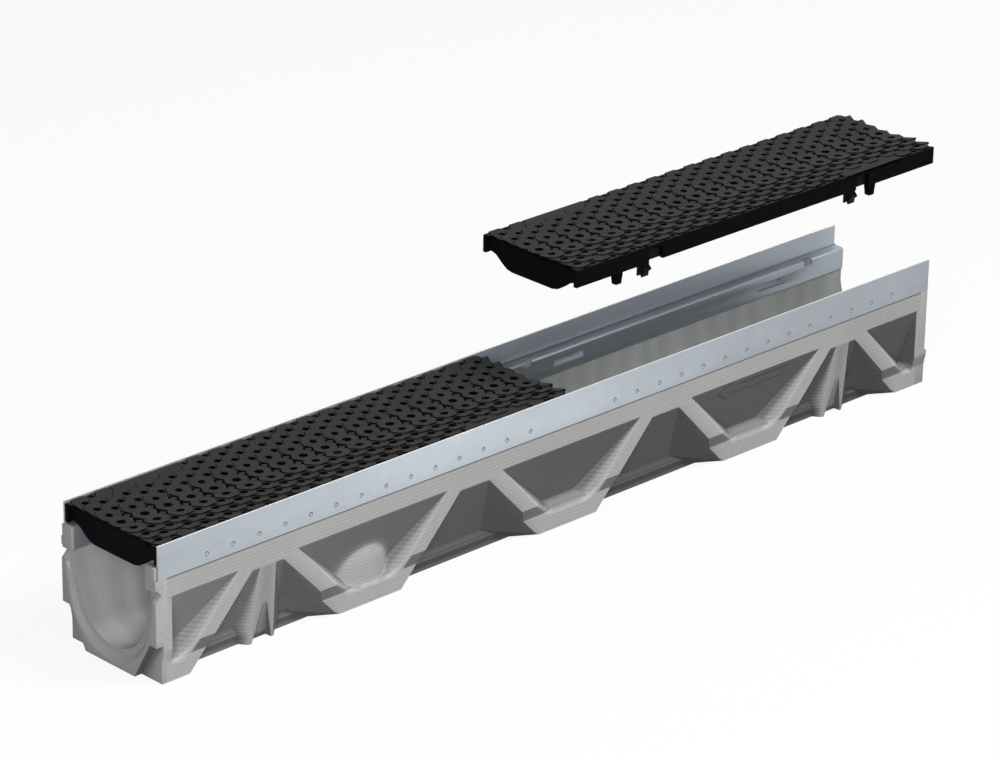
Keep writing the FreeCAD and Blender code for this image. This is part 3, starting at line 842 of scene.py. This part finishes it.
def open_depth(x, z):
    """A pocket with crisp planes that runs out through the base."""
    if z >= OPEN_TOP:
        return 0.0
    return max(0.0, min(open_floor(z), max(open_planes(x, z))))


def rib_widths(z):
    """Half widths of the split rib's front and of its slit, and the width of its flank."""
    t = max(0.0, (OPEN_TOP - z) / OPEN_TOP)
    half = RIB_HALF + RIB_SPREAD * t
    slit = SLIT_HALF + SLIT_SPREAD * max(0.0, SLIT_TOP - z) / SLIT_TOP
    flank = 7.0 + 0.47 * z if z < FOOT_LOW else 1.0 + 22.0 * t ** 1.3
    return half, slit, flank


def rib_depth(x, z):
    """The split rib: a sloping front, a wedge cut between its legs and soft flanks."""
    half, slit, flank = rib_widths(z)
    front = RIB_BACK * ((OPEN_TOP - z) / OPEN_TOP)
    if z < SLIT_TOP and abs(x) < slit:
        return front + SLIT_DEEP * (SLIT_TOP - z) / SLIT_TOP * min(1.0, (slit - abs(x)) / 0.6)
    across = max(0.0, abs(x) - half) / flank
    return front + (open_floor(z) + 1.0 - front) * across ** 1.6


def soft_min(a, b, reach):
    """The smaller of two depths, rounded where they differ by less than reach."""
    near = max(0.0, reach - abs(a - b)) / reach
    return min(a, b) - near * near * reach / 4


def boss_depth(x, z):
    """The round boss: a soft dome, straight below its middle, longer on its left."""
    reach = BOSS_RIGHT if x > 0 else BOSS_LEFT
    return BOSS_BACK + BOSS_FALL * math.hypot(x / reach, max(0.0, z - BOSS_Z) / BOSS_RISE) ** 2.1


def side_depth(x, z):
    """Depth of the -Y side below the plane of the rails, in the -Y side's own x."""
    depth = foot_step(z)
    for centre in CLOSED_CENTRES:
        if abs(x - centre) < POCKET_REACH:
            pocket = closed_depth(x - centre, z)
            if centre == BOSS_CENTRE:
                pocket = soft_min(pocket, boss_depth(x - centre, z), 4.0)
            if abs(centre) == HALF_L:
                pocket = min(pocket, max(0.0, (END_POST - abs(x)) * POCKET_DEEP))
            depth = max(depth, pocket)
    for centre in OPEN_CENTRES:
        if abs(x - centre) < POCKET_REACH and z < OPEN_TOP:
            pocket = open_depth(x - centre, z)
            if centre in RIB_CENTRES:
                pocket = min(pocket, rib_depth(x - centre, z))
            depth = max(depth, pocket)
    return depth


def closed_tone(x, z, dim):
    """Painted shade in a closed pocket: dark floor, darkest along the crease, plain at the rim."""
    across, rise = closed_place(x, z)
    tone = dim
    if rise < 1.0:
        tone = 0.84 - 0.16 * ease(rise, 0.0, 0.35) - 0.2 * ease(rise, 0.3, 1.0)
    if across < 1.0:
        wall = 0.98 - 0.24 * ease(across, 0.0, 0.4) - 0.54 * ease(across, 0.45, 0.98)
        # Painted highlight along the outer part of the left ramp.
        if x < 0:
            wall += 0.3 * (1.0 - ease(across, 0.1, 0.6))
        tone = max(tone, wall)
    return tone


def open_tone(x, z, dim):
    """Painted shade in an open pocket: its side planes are darker than its floor, and its bead has
    painted light and shade bands.
    """
    if open_depth(x, z) < open_floor(z) - 0.01:
        return 0.66 * dim
    if z < BEAD_TOP:
        wave = math.sin(math.pi * (BEAD_TOP - z) / 4.6) ** 2
        return dim * (0.5 + 0.35 * wave * (1.2 - z / 30.0))
    return 0.84 * dim


def rib_tone(x, z, dim):
    """Painted shade on a split rib: dark slit, plain front and a left flank that darkens outwards."""
    half, slit, flank = rib_widths(z)
    if z < SLIT_TOP and abs(x) < slit:
        return 0.36 if abs(x) > slit - 0.7 or z < 5.0 else 0.72
    if x > half:
        return 0.6 * dim
    across = max(0.0, -x - half) / flank
    painted_shade = 0.8 + 0.14 * ease(abs(x), slit, half)
    return painted_shade - (painted_shade - 0.66 * dim) * ease(across, 0.12, 0.95)


def plain_tone(x, z):
    """The plain face: unpainted, but for painted shade on the step over the feet beside the open
    pockets.
    """
    if not FOOT_LOW < z < FOOT_TOP:
        return 1.0
    reach = wall_reach(z, foot_step(z), STEEP) + NOTCH_WIDTH
    if any(-125.0 < x - centre < -reach for centre in OPEN_CENTRES):
        return 1.0
    return 0.45 if abs(x) < END_POST - 1.0 else 0.75


def floor_tone(x):
    """Painted shade on the pockets' floors, lighter towards the near end."""
    return 0.335 + 0.245 * (max(0.0, 250.0 - x) / 710.0) ** 2


def boss_share(x, z):
    """1 where the boss stands clear of its pocket's floor, 0 where it has run out."""
    floor = closed_depth(x, z)
    height = floor - boss_depth(x, z)
    return ease(height / max(floor - BOSS_BACK, 1.0), -0.1, 0.45)


def side_tone(x, z):
    """The painted light and shade of the concrete at a place on the -Y side, 1 on its plain face."""
    # Painted shadow line just under the rails' skirt.
    if z > SKIRT_Z:
        return 0.3
    tone = plain_tone(x, z)
    dim = floor_tone(x)
    for centre in CLOSED_CENTRES:
        across, rise = closed_place(x - centre, z)
        if across > 0 and abs(x) < END_POST:
            painted_shading = closed_tone(x - centre, z, dim)
            if centre == BOSS_CENTRE:
                painted_shading += (0.95 - painted_shading) * boss_share(x - centre, z)
            ramp = floor_depth(CLOSED_TOP, z) * across ** RAMP_POWER * rise ** SILL_POWER
            shown = ease(ramp - foot_step(z), -0.6, 1.2) if z < FOOT_TOP else 1.0
            tone += (painted_shading - tone) * shown
    for centre in OPEN_CENTRES:
        if abs(x - centre) < POCKET_REACH and open_depth(x - centre, z) > foot_step(z) + 0.001:
            tone = open_tone(x - centre, z, dim)
            if centre in RIB_CENTRES and rib_depth(x - centre, z) < open_depth(x - centre, z):
                tone = rib_tone(x - centre, z, dim)
    return tone


def closed_stops(z):
    """Half widths of a closed pocket at its rim and along its crease."""
    z = min(max(z, SILL_Z), CLOSED_TOP)
    outer = CLOSED_HALF_TOP - (CLOSED_TOP - z) * WALL_RUN / WALL_FALL
    spread = CLOSED_HALF_TOP - CLOSED_HALF_FLOOR
    inner = CLOSED_HALF_FLOOR + spread * (max(z, CREASE_Z) - CREASE_Z) / (CLOSED_TOP - CREASE_Z)
    return outer, min(inner, outer - 0.3)


def open_stops(z):
    """Places of an open pocket's crease, fold and edge on the right, crease and edge on the left."""
    step = foot_step(z)
    floor = open_floor(z)
    edge = max(wall_reach(z, step, GENTLE), fold_reach(z, step))
    crease = OPEN_HALF_TOP + (OPEN_HALF_FLOOR - OPEN_HALF_TOP) * (OPEN_TOP - z) / FLOOR_FALL
    if z < BEAD_TOP:
        crease = fold_reach(z, floor)
    edge = max(edge, crease + 0.6)
    fold = OPEN_HALF_FLOOR + (OPEN_HALF_FOOT - OPEN_HALF_FLOOR) * (BEAD_TOP - z) / BEAD_TOP
    fold = min(edge - 0.3, max(crease + 0.3, fold))
    left_crease = wall_reach(z, floor, STEEP)
    left_edge = max(left_crease + 0.3, wall_reach(z, step, STEEP))
    return crease, fold, edge, left_crease, left_edge


def rib_stops(z, crease, left_crease):
    """Half widths of a split rib's slit and front, and the feet of its two flanks."""
    half, slit, flank = rib_widths(z)
    half = min(half, crease - 1.2)
    rise = max(0.0, open_floor(z) - RIB_BACK * (OPEN_TOP - z) / OPEN_TOP)
    foot = half + flank * (rise / (rise + 1.0)) ** 0.625
    right_foot = max(half + 0.4, min(foot, crease - 0.4))
    left_foot = max(half + 0.4, min(foot, left_crease - 0.4))
    return slit, half, right_foot, left_foot


def side_columns(z):
    """Grid positions along the side at one height; they follow the edges of the pockets."""
    outer, inner = closed_stops(z)
    z = min(z, OPEN_TOP)
    crease, fold, edge, left_crease, left_edge = open_stops(z)
    slit, half, right_foot, left_foot = rib_stops(z, crease, left_crease)
    notch = max(left_edge + 1.0, min(left_edge + NOTCH_WIDTH, 124.0 - outer))
    left = [(-notch, 1), (-left_edge, 5)]
    right = [(crease, 4), (fold, 4), (edge, 2)]
    rib = [(-left_crease, 5), (-left_foot, 8), (-half, 2), (-slit, 1), (-slit + 0.7, 5),
           (slit - 0.7, 1), (slit, 2), (half, 7), (right_foot, 3)]
    stops = [(-SIDE_REACH, 1), (-END_POST, 1), (-END_POST + 1, 9), (-HALF_L + inner, 9),
             (-HALF_L + outer, 1)]
    for centre in sorted(OPEN_CENTRES + CLOSED_CENTRES[1:-1]):
        if centre in CLOSED_CENTRES:
            middle = 48 if centre == BOSS_CENTRE else 10
            places = [(-outer, 10), (-inner, middle), (inner, 10), (outer, 1)]
        elif centre in RIB_CENTRES:
            places = left + rib + right
        else:
            places = left + [(-left_crease, 12)] + right
        stops += [(centre + place, count) for place, count in places]
    stops += [(HALF_L - outer, 9), (HALF_L - inner, 9), (END_POST - 1, 1), (END_POST, 1),
              (SIDE_REACH, 0)]
    columns = []
    for (a, count), (b, _) in zip(stops, stops[1:]):
        columns += [a + (b - a) * i / count for i in range(count)]
    return columns + [SIDE_REACH]


def side_rows():
    """Heights of the grid's rows, which keep every level edge of the relief."""
    marks = [0.0, 5.0, SILL_Z, BEAD_TOP, FOOT_LOW, CREASE_Z, FOOT_TOP, SLIT_TOP, OPEN_TOP,
             CLOSED_TOP, SKIRT_Z, SIDE_TOP]
    rows = []
    for a, b in zip(marks, marks[1:]):
        count = max(1, round((b - a) / 1.7))
        rows += [a + (b - a) * i / count for i in range(count)]
    return rows + [SIDE_TOP]


def relief_side(builder, turn):
    """One long side as a fine relief; turn is 1 for -Y and -1 for the half-turned +Y side."""
    rows = side_rows()
    points = []
    for z in rows:
        for x in side_columns(z):
            points.append((turn * x, turn * (side_depth(x, z) - HALF_W), z))
    width = len(points) // len(rows)
    faces = []
    for r in range(len(rows) - 1):
        for c in range(width - 1):
            a = r * width + c
            faces.append((a, a + 1, a + width + 1, a + width))
    builder.add(points, faces)
    return points[:width]


def solid_copy(node, name):
    """The solid's mesh without its materials, and its open form with double points merged."""
    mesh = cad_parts[node].data.copy()
    mesh.name = name
    mesh.materials.clear()
    work = bmesh.new()
    work.from_mesh(mesh)
    bmesh.ops.remove_doubles(work, verts=work.verts, dist=0.00001)
    return mesh, work


def join_flats(work):
    bmesh.ops.dissolve_limit(work, angle_limit=FLAT_ANGLE, verts=work.verts, edges=work.edges)


def split_along(work, place, normal):
    bmesh.ops.bisect_plane(work, geom=work.verts[:] + work.edges[:] + work.faces[:],
                           dist=0.000001, plane_co=place, plane_no=normal)


def finish_copy(mesh, work, width, materials, choose):
    """Closes a copy, rounds its edges and gives each face the material that choose names."""
    work.to_mesh(mesh)
    work.free()
    give(mesh, materials)
    piece = add_object(mesh.name, mesh)
    soften(piece, width)
    apply_modifiers(piece)
    for polygon in piece.data.polygons:
        polygon.material_index = choose(polygon)
    shade(piece.data)
    return piece


def shade(mesh):
    mesh.shade_smooth()
    mesh.set_sharp_from_angle(angle=SHARP_ANGLE)


def in_trough(place, half):
    """Whether a place is on the trough's round floor or between its upright walls."""
    round_floor = math.hypot(place.y, place.z - TROUGH_Z) < TROUGH_R
    return round_floor or (place.z > 60 and abs(place.y) < half)


def plain_parts(node):
    """The solid's ends, trough and shoulders, without its sides and base between the ends."""
    mesh, work = solid_copy(node, "plain_parts")
    for x in (-SIDE_REACH, SIDE_REACH):
        split_along(work, (x * MM, 0, 0), (1, 0, 0))
    doomed = []
    for face in work.faces:
        place = face.calc_center_median() / MM
        if abs(place.x) > SIDE_REACH:
            continue
        level = abs(face.normal.z)
        shoulder = place.z > 101 and face.normal.z > -0.5 and (level > 0.9 or abs(place.y) < 63.2)
        if not in_trough(place, 55) and not shoulder:
            doomed.append(face)
    bmesh.ops.delete(work, geom=doomed, context="FACES")
    join_flats(work)
    for side in (-1, 1):
        for reach in (1.0, 4.0, 8.0, 13.0):
            split_along(work, (0, side * (RECESS_FOOT + reach / RECESS_SLANT) * MM, 0),
                        (0, side * RECESS_RISE, -RECESS_RUN))
    return mesh, work


def concrete_face(polygon):
    """0 for the outer sides, 1 for the trough, 2 for ends and underside, 3 behind the slots."""
    center = polygon.center / MM
    normal = polygon.normal
    if 51.6 < abs(center.y) < 54.7 and 97 < center.z < 106 and abs(center.x) < 480:
        return 3
    if abs(center.x) > END_POST and (abs(normal.x) > 0.7 or abs(center.y) < 60):
        ring = center.z > 40 or abs(center.y) < 30 + center.z * RECESS_RUN / RECESS_RISE
        return 1 if abs(normal.x) < 0.1 and ring and abs(center.y) < 58 else 2
    if normal.z < -0.9 and center.z < 1 or abs(normal.x) > 0.7 and abs(center.x) > 470:
        return 2
    return 1 if in_trough(center, 51.6) else 0


def make_channel():
    """The casting: relief sides on the solid's ends and trough."""
    materials = [SIDE, BORE_LIT, END_SHADED, STEEL]
    relief = Builder()
    front = relief_side(relief, 1)
    rear = relief_side(relief, -1)
    base = [(x, y, 0.0) for x, y, _ in front + rear]
    relief.add(base, [tuple(range(len(base)))], 2)
    sides = relief.build("relief", materials)
    shade(sides.data)
    rest = finish_copy(*plain_parts("channel_body"), 0.6, materials, concrete_face)
    piece = join_pieces("cast_channel", [sides, rest])
    keep_painted_shade(piece.data)
    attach(piece, "channel")
    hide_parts("channel_body")


def recess_reach(place):
    """Distance out from the slanted wall of an end's corner recess."""
    return (abs(place.y) - RECESS_FOOT - place.z * RECESS_RUN / RECESS_RISE) * RECESS_SLANT


def corner_tone(index, centre, place, turn):
    """The painted light or shade of the concrete at a face's corner, by the face's material index."""
    if index == 1:
        # Painted light on the trough: its end rings lighter, the trough lighter towards the near end
        # and brightest along its bottom.
        if abs(centre.x) > END_POST:
            return 1.1
        tone = 0.78 - 0.1 * place.x / HALF_L
        if centre.z < 40.0:
            tone += 0.6 * (1.0 - ease(place.z, 14.0, 30.0))
        return tone
    # Painted shade in each end's corner recess, darkest by its slanted wall.
    if index == 2 and centre.z < 38.5 and recess_reach(centre) > -1.0:
        if 494 < abs(centre.x) < 499.9:
            return 0.4 + 0.6 * ease(recess_reach(place), 0.0, 13.0)
    if index == 0 and abs(centre.y) > 44 and centre.z < SIDE_TOP:
        return side_tone(turn * place.x, place.z)
    return 1.0


def keep_painted_shade(mesh):
    """Keeps the painted light and shade of the concrete on each face corner, for its material to
    multiply in.
    """
    layer = mesh.color_attributes.new("painted_shade", "FLOAT_COLOR", "CORNER")
    for polygon in mesh.polygons:
        centre = polygon.center / MM
        turn = 1 if centre.y < 0 else -1
        for corner in polygon.loop_indices:
            place = mesh.vertices[mesh.loops[corner].vertex_index].co / MM
            place += (centre - place) * 0.08
            tone = corner_tone(polygon.material_index, centre, place, turn)
            layer.data[corner].color = (tone, tone, tone, 1.0)


# Rails and clips
DENT_DEPTH = 1.0
DENT_REACH = 2.25
DIMPLE_SIDES = 16
DIMPLE_RINGS = ((2.2, 0.0), (1.95, 0.2), (1.4, 0.4), (0.6, 0.45))
DIMPLE_RIM = 1.45


def round_dimples(work):
    """Turns each four-sided dent of the rail into a round pressed dimple."""
    side = 1 if sum(v.co.y for v in work.verts) > 0 else -1
    face_y = side * HALF_W * MM
    bottom_y = side * (HALF_W - DENT_DEPTH) * MM
    places = [(v.co.x, v.co.z) for v in work.verts if abs(v.co.y - bottom_y) < 0.00005
              and v.co.z < 0.112 and len(v.link_faces) == 4]
    turns = [2 * math.pi * k / DIMPLE_SIDES for k in range(DIMPLE_SIDES)]
    for x, z in places:
        near = [v for v in work.verts if math.hypot(v.co.x - x, v.co.z - z) < DENT_REACH * MM
                and abs(v.co.y - face_y) < 0.0011]
        corners = [v for v in near if abs(v.co.y - face_y) < 0.00001]
        bmesh.ops.delete(work, geom=[v for v in near if v not in corners], context="VERTS")
        for v in corners:
            v.co.x = x + DIMPLE_RIM * (v.co.x - x)
            v.co.z = z + DIMPLE_RIM * (v.co.z - z)
        rings = []
        for radius, depth in DIMPLE_RINGS:
            rings.append([work.verts.new((x + radius * MM * math.cos(t), face_y - side * depth * MM,
                                          z + radius * MM * math.sin(t))) for t in turns])
        for face in ring_faces(corners, rings[0], [(v.co.x, v.co.z) for v in corners],
                               [(v.co.x, v.co.z) for v in rings[0]]):
            work.faces.new(face)
        for outer, inner in zip(rings, rings[1:]):
            for k in range(DIMPLE_SIDES):
                m = (k + 1) % DIMPLE_SIDES
                work.faces.new((outer[k], outer[m], inner[m], inner[k]))
        work.faces.new(rings[-1])
    bmesh.ops.recalc_face_normals(work, faces=work.faces)


def rail_face(polygon):
    """0 for the outer skin and the bead, whose thin bright line is a painted highlight; 1 inside, in
    painted shade; 2 in the groove, a painted shadow line; 3 in a dent, in painted shade; 4 on the top
    edge, a painted highlight.
    """
    center = polygon.center / MM
    if 63.2 < abs(center.y) < 63.99 and abs(polygon.normal.y) > 0.5 and 106 < center.z < 115:
        return 3
    if center.z > 133.3:
        return 4
    if abs(center.y) > 62.95:
        return 0
    if 60.4 < abs(center.y) < 61.5 and 113.4 < center.z < 114.7:
        return 2
    if abs(center.y) > 61.4 and 114.4 < center.z < 114.9:
        return 0
    return 1


def make_rails():
    for word in ("front", "rear"):
        mesh, work = solid_copy(word + "_rail", word + "_edge_rail")
        join_flats(work)
        round_dimples(work)
        piece = finish_copy(mesh, work, 0.2,
                            [STEEL, STEEL_SHADED, STEEL_GROOVE_SHADOW, STEEL_DENT_SHADE, STEEL_HIGHLIGHT], rail_face)
        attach(piece, "channel")
        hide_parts(word + "_rail")


def make_clips():
    for word in ("seated", "raised"):
        for k in range(1, 5):
            mesh, work = solid_copy(f"{word}_clip_{k}", f"{word}_snap_{k}")
            join_flats(work)
            piece = finish_copy(mesh, work, 0.4, [CLIP], lambda polygon: 0)
            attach(piece, word + "_cover")
            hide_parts(f"{word}_clip_{k}")


ARROW_X = 250.0
ARROW_LINES = (((-50.5, 72.6), (-34.0, 80.7)), ((-50.5, 72.6), (-34.4, 63.0)),
               ((-24.0, 77.0), (49.0, 77.0)), ((-34.0, 68.0), (46.0, 68.0)))
STROKE_HALF = 0.5
STROKE_PROUD = 0.12
STROKE_THICK = 0.8
BOX_FACES = [(0, 1, 2, 3), (7, 6, 5, 4), (0, 4, 5, 1), (1, 5, 6, 2), (2, 6, 7, 3), (3, 7, 4, 0)]


def make_arrow():
    """The plain flow arrow on the floor of one pocket on each side: dark strokes standing proud of the
    floor, painted shade for engraved lines.
    """
    for turn, name in ((1, "front_flow_mark"), (-1, "rear_flow_mark")):
        builder = Builder()
        for (ax, az), (bx, bz) in ARROW_LINES:
            length = math.hypot(bx - ax, bz - az)
            nx = -(bz - az) / length * STROKE_HALF
            nz = (bx - ax) / length * STROKE_HALF
            ring = []
            for px, pz in ((ax + nx, az + nz), (bx + nx, bz + nz), (bx - nx, bz - nz),
                           (ax - nx, az - nz)):
                y = side_depth(ARROW_X + px, pz) - HALF_W
                ring.append((turn * (ARROW_X + px), turn * (y - STROKE_PROUD), pz))
            back = [(x, y + turn * STROKE_THICK, z) for x, y, z in ring]
            builder.add(ring + back, BOX_FACES)
        piece = builder.build(name, [MARK_SHADE])
        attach(piece, "channel")


# Stage and light
def make_stage():
    """A white floor that shows as plain white and takes soft shadows."""
    mesh = bpy.data.meshes.new("floor")
    mesh.from_pydata([(-9, -9, 0), (9, -9, 0), (9, 9, 0), (-9, 9, 0)], [], [(0, 1, 2, 3)])
    floor = add_object("floor", mesh)
    floor.location = (0, 0, -0.0005)
    material, graph, shader = new_material("floor_white")
    color = graph.mix(graph.ray("Camera"), (0.12, 0.12, 0.12), (0.78, 0.78, 0.78), "MIX")
    graph.fill(shader, {"Base Color": color, "Roughness": 0.9, "Specular IOR Level": 0.1})
    glow = graph.node("Emission", {"Color": (1, 1, 1), "Strength": 1.0})
    seen = graph.maths("MULTIPLY", graph.ray("Camera", "Glossy"), 0.9)
    surface = graph.blend(seen, shader.outputs["BSDF"], glow.outputs["Emission"])
    output = next(n for n in graph.nodes if n.type == "OUTPUT_MATERIAL")
    graph.feed(output.inputs["Surface"], surface)
    mesh.materials.append(material)


def make_world():
    """White to look at, and a weak even light on the object."""
    world = bpy.data.worlds.new("world")
    scene.world = world
    world.use_nodes = True
    graph = Graph(world.node_tree)
    graph.nodes.clear()
    soft, white = [graph.node("Background", {"Color": (1, 1, 1), "Strength": strength})
                   for strength in (0.2, 1.0)]
    surface = graph.blend(graph.ray("Camera", "Glossy", "Transmission"),
                          soft.outputs["Background"], white.outputs["Background"])
    graph.node("OutputWorld", {"Surface": surface})


def area_light(name, place, target, size, power):
    data = bpy.data.lights.new(name, "AREA")
    data.shape = "RECTANGLE"
    data.size, data.size_y = size
    data.energy = power
    lamp = add_object(name, data)
    lamp.location = place
    lamp.rotation_euler = (Vector(target) - Vector(place)).to_track_quat("-Z", "Y").to_euler()


def make_lights():
    area_light("key", (0.9, -1.9, 2.9), (0, 0, 0.1), (1.2, 1.2), 108)
    area_light("left_fill", (-2.5, -2.1, 1.25), (-0.1, 0, 0.1), (1.3, 1.3), 78)


scene.view_settings.view_transform = "Standard"
make_camera()
make_stage()
make_world()
make_lights()
make_gratings()
make_channel()
make_rails()
make_clips()
make_arrow()
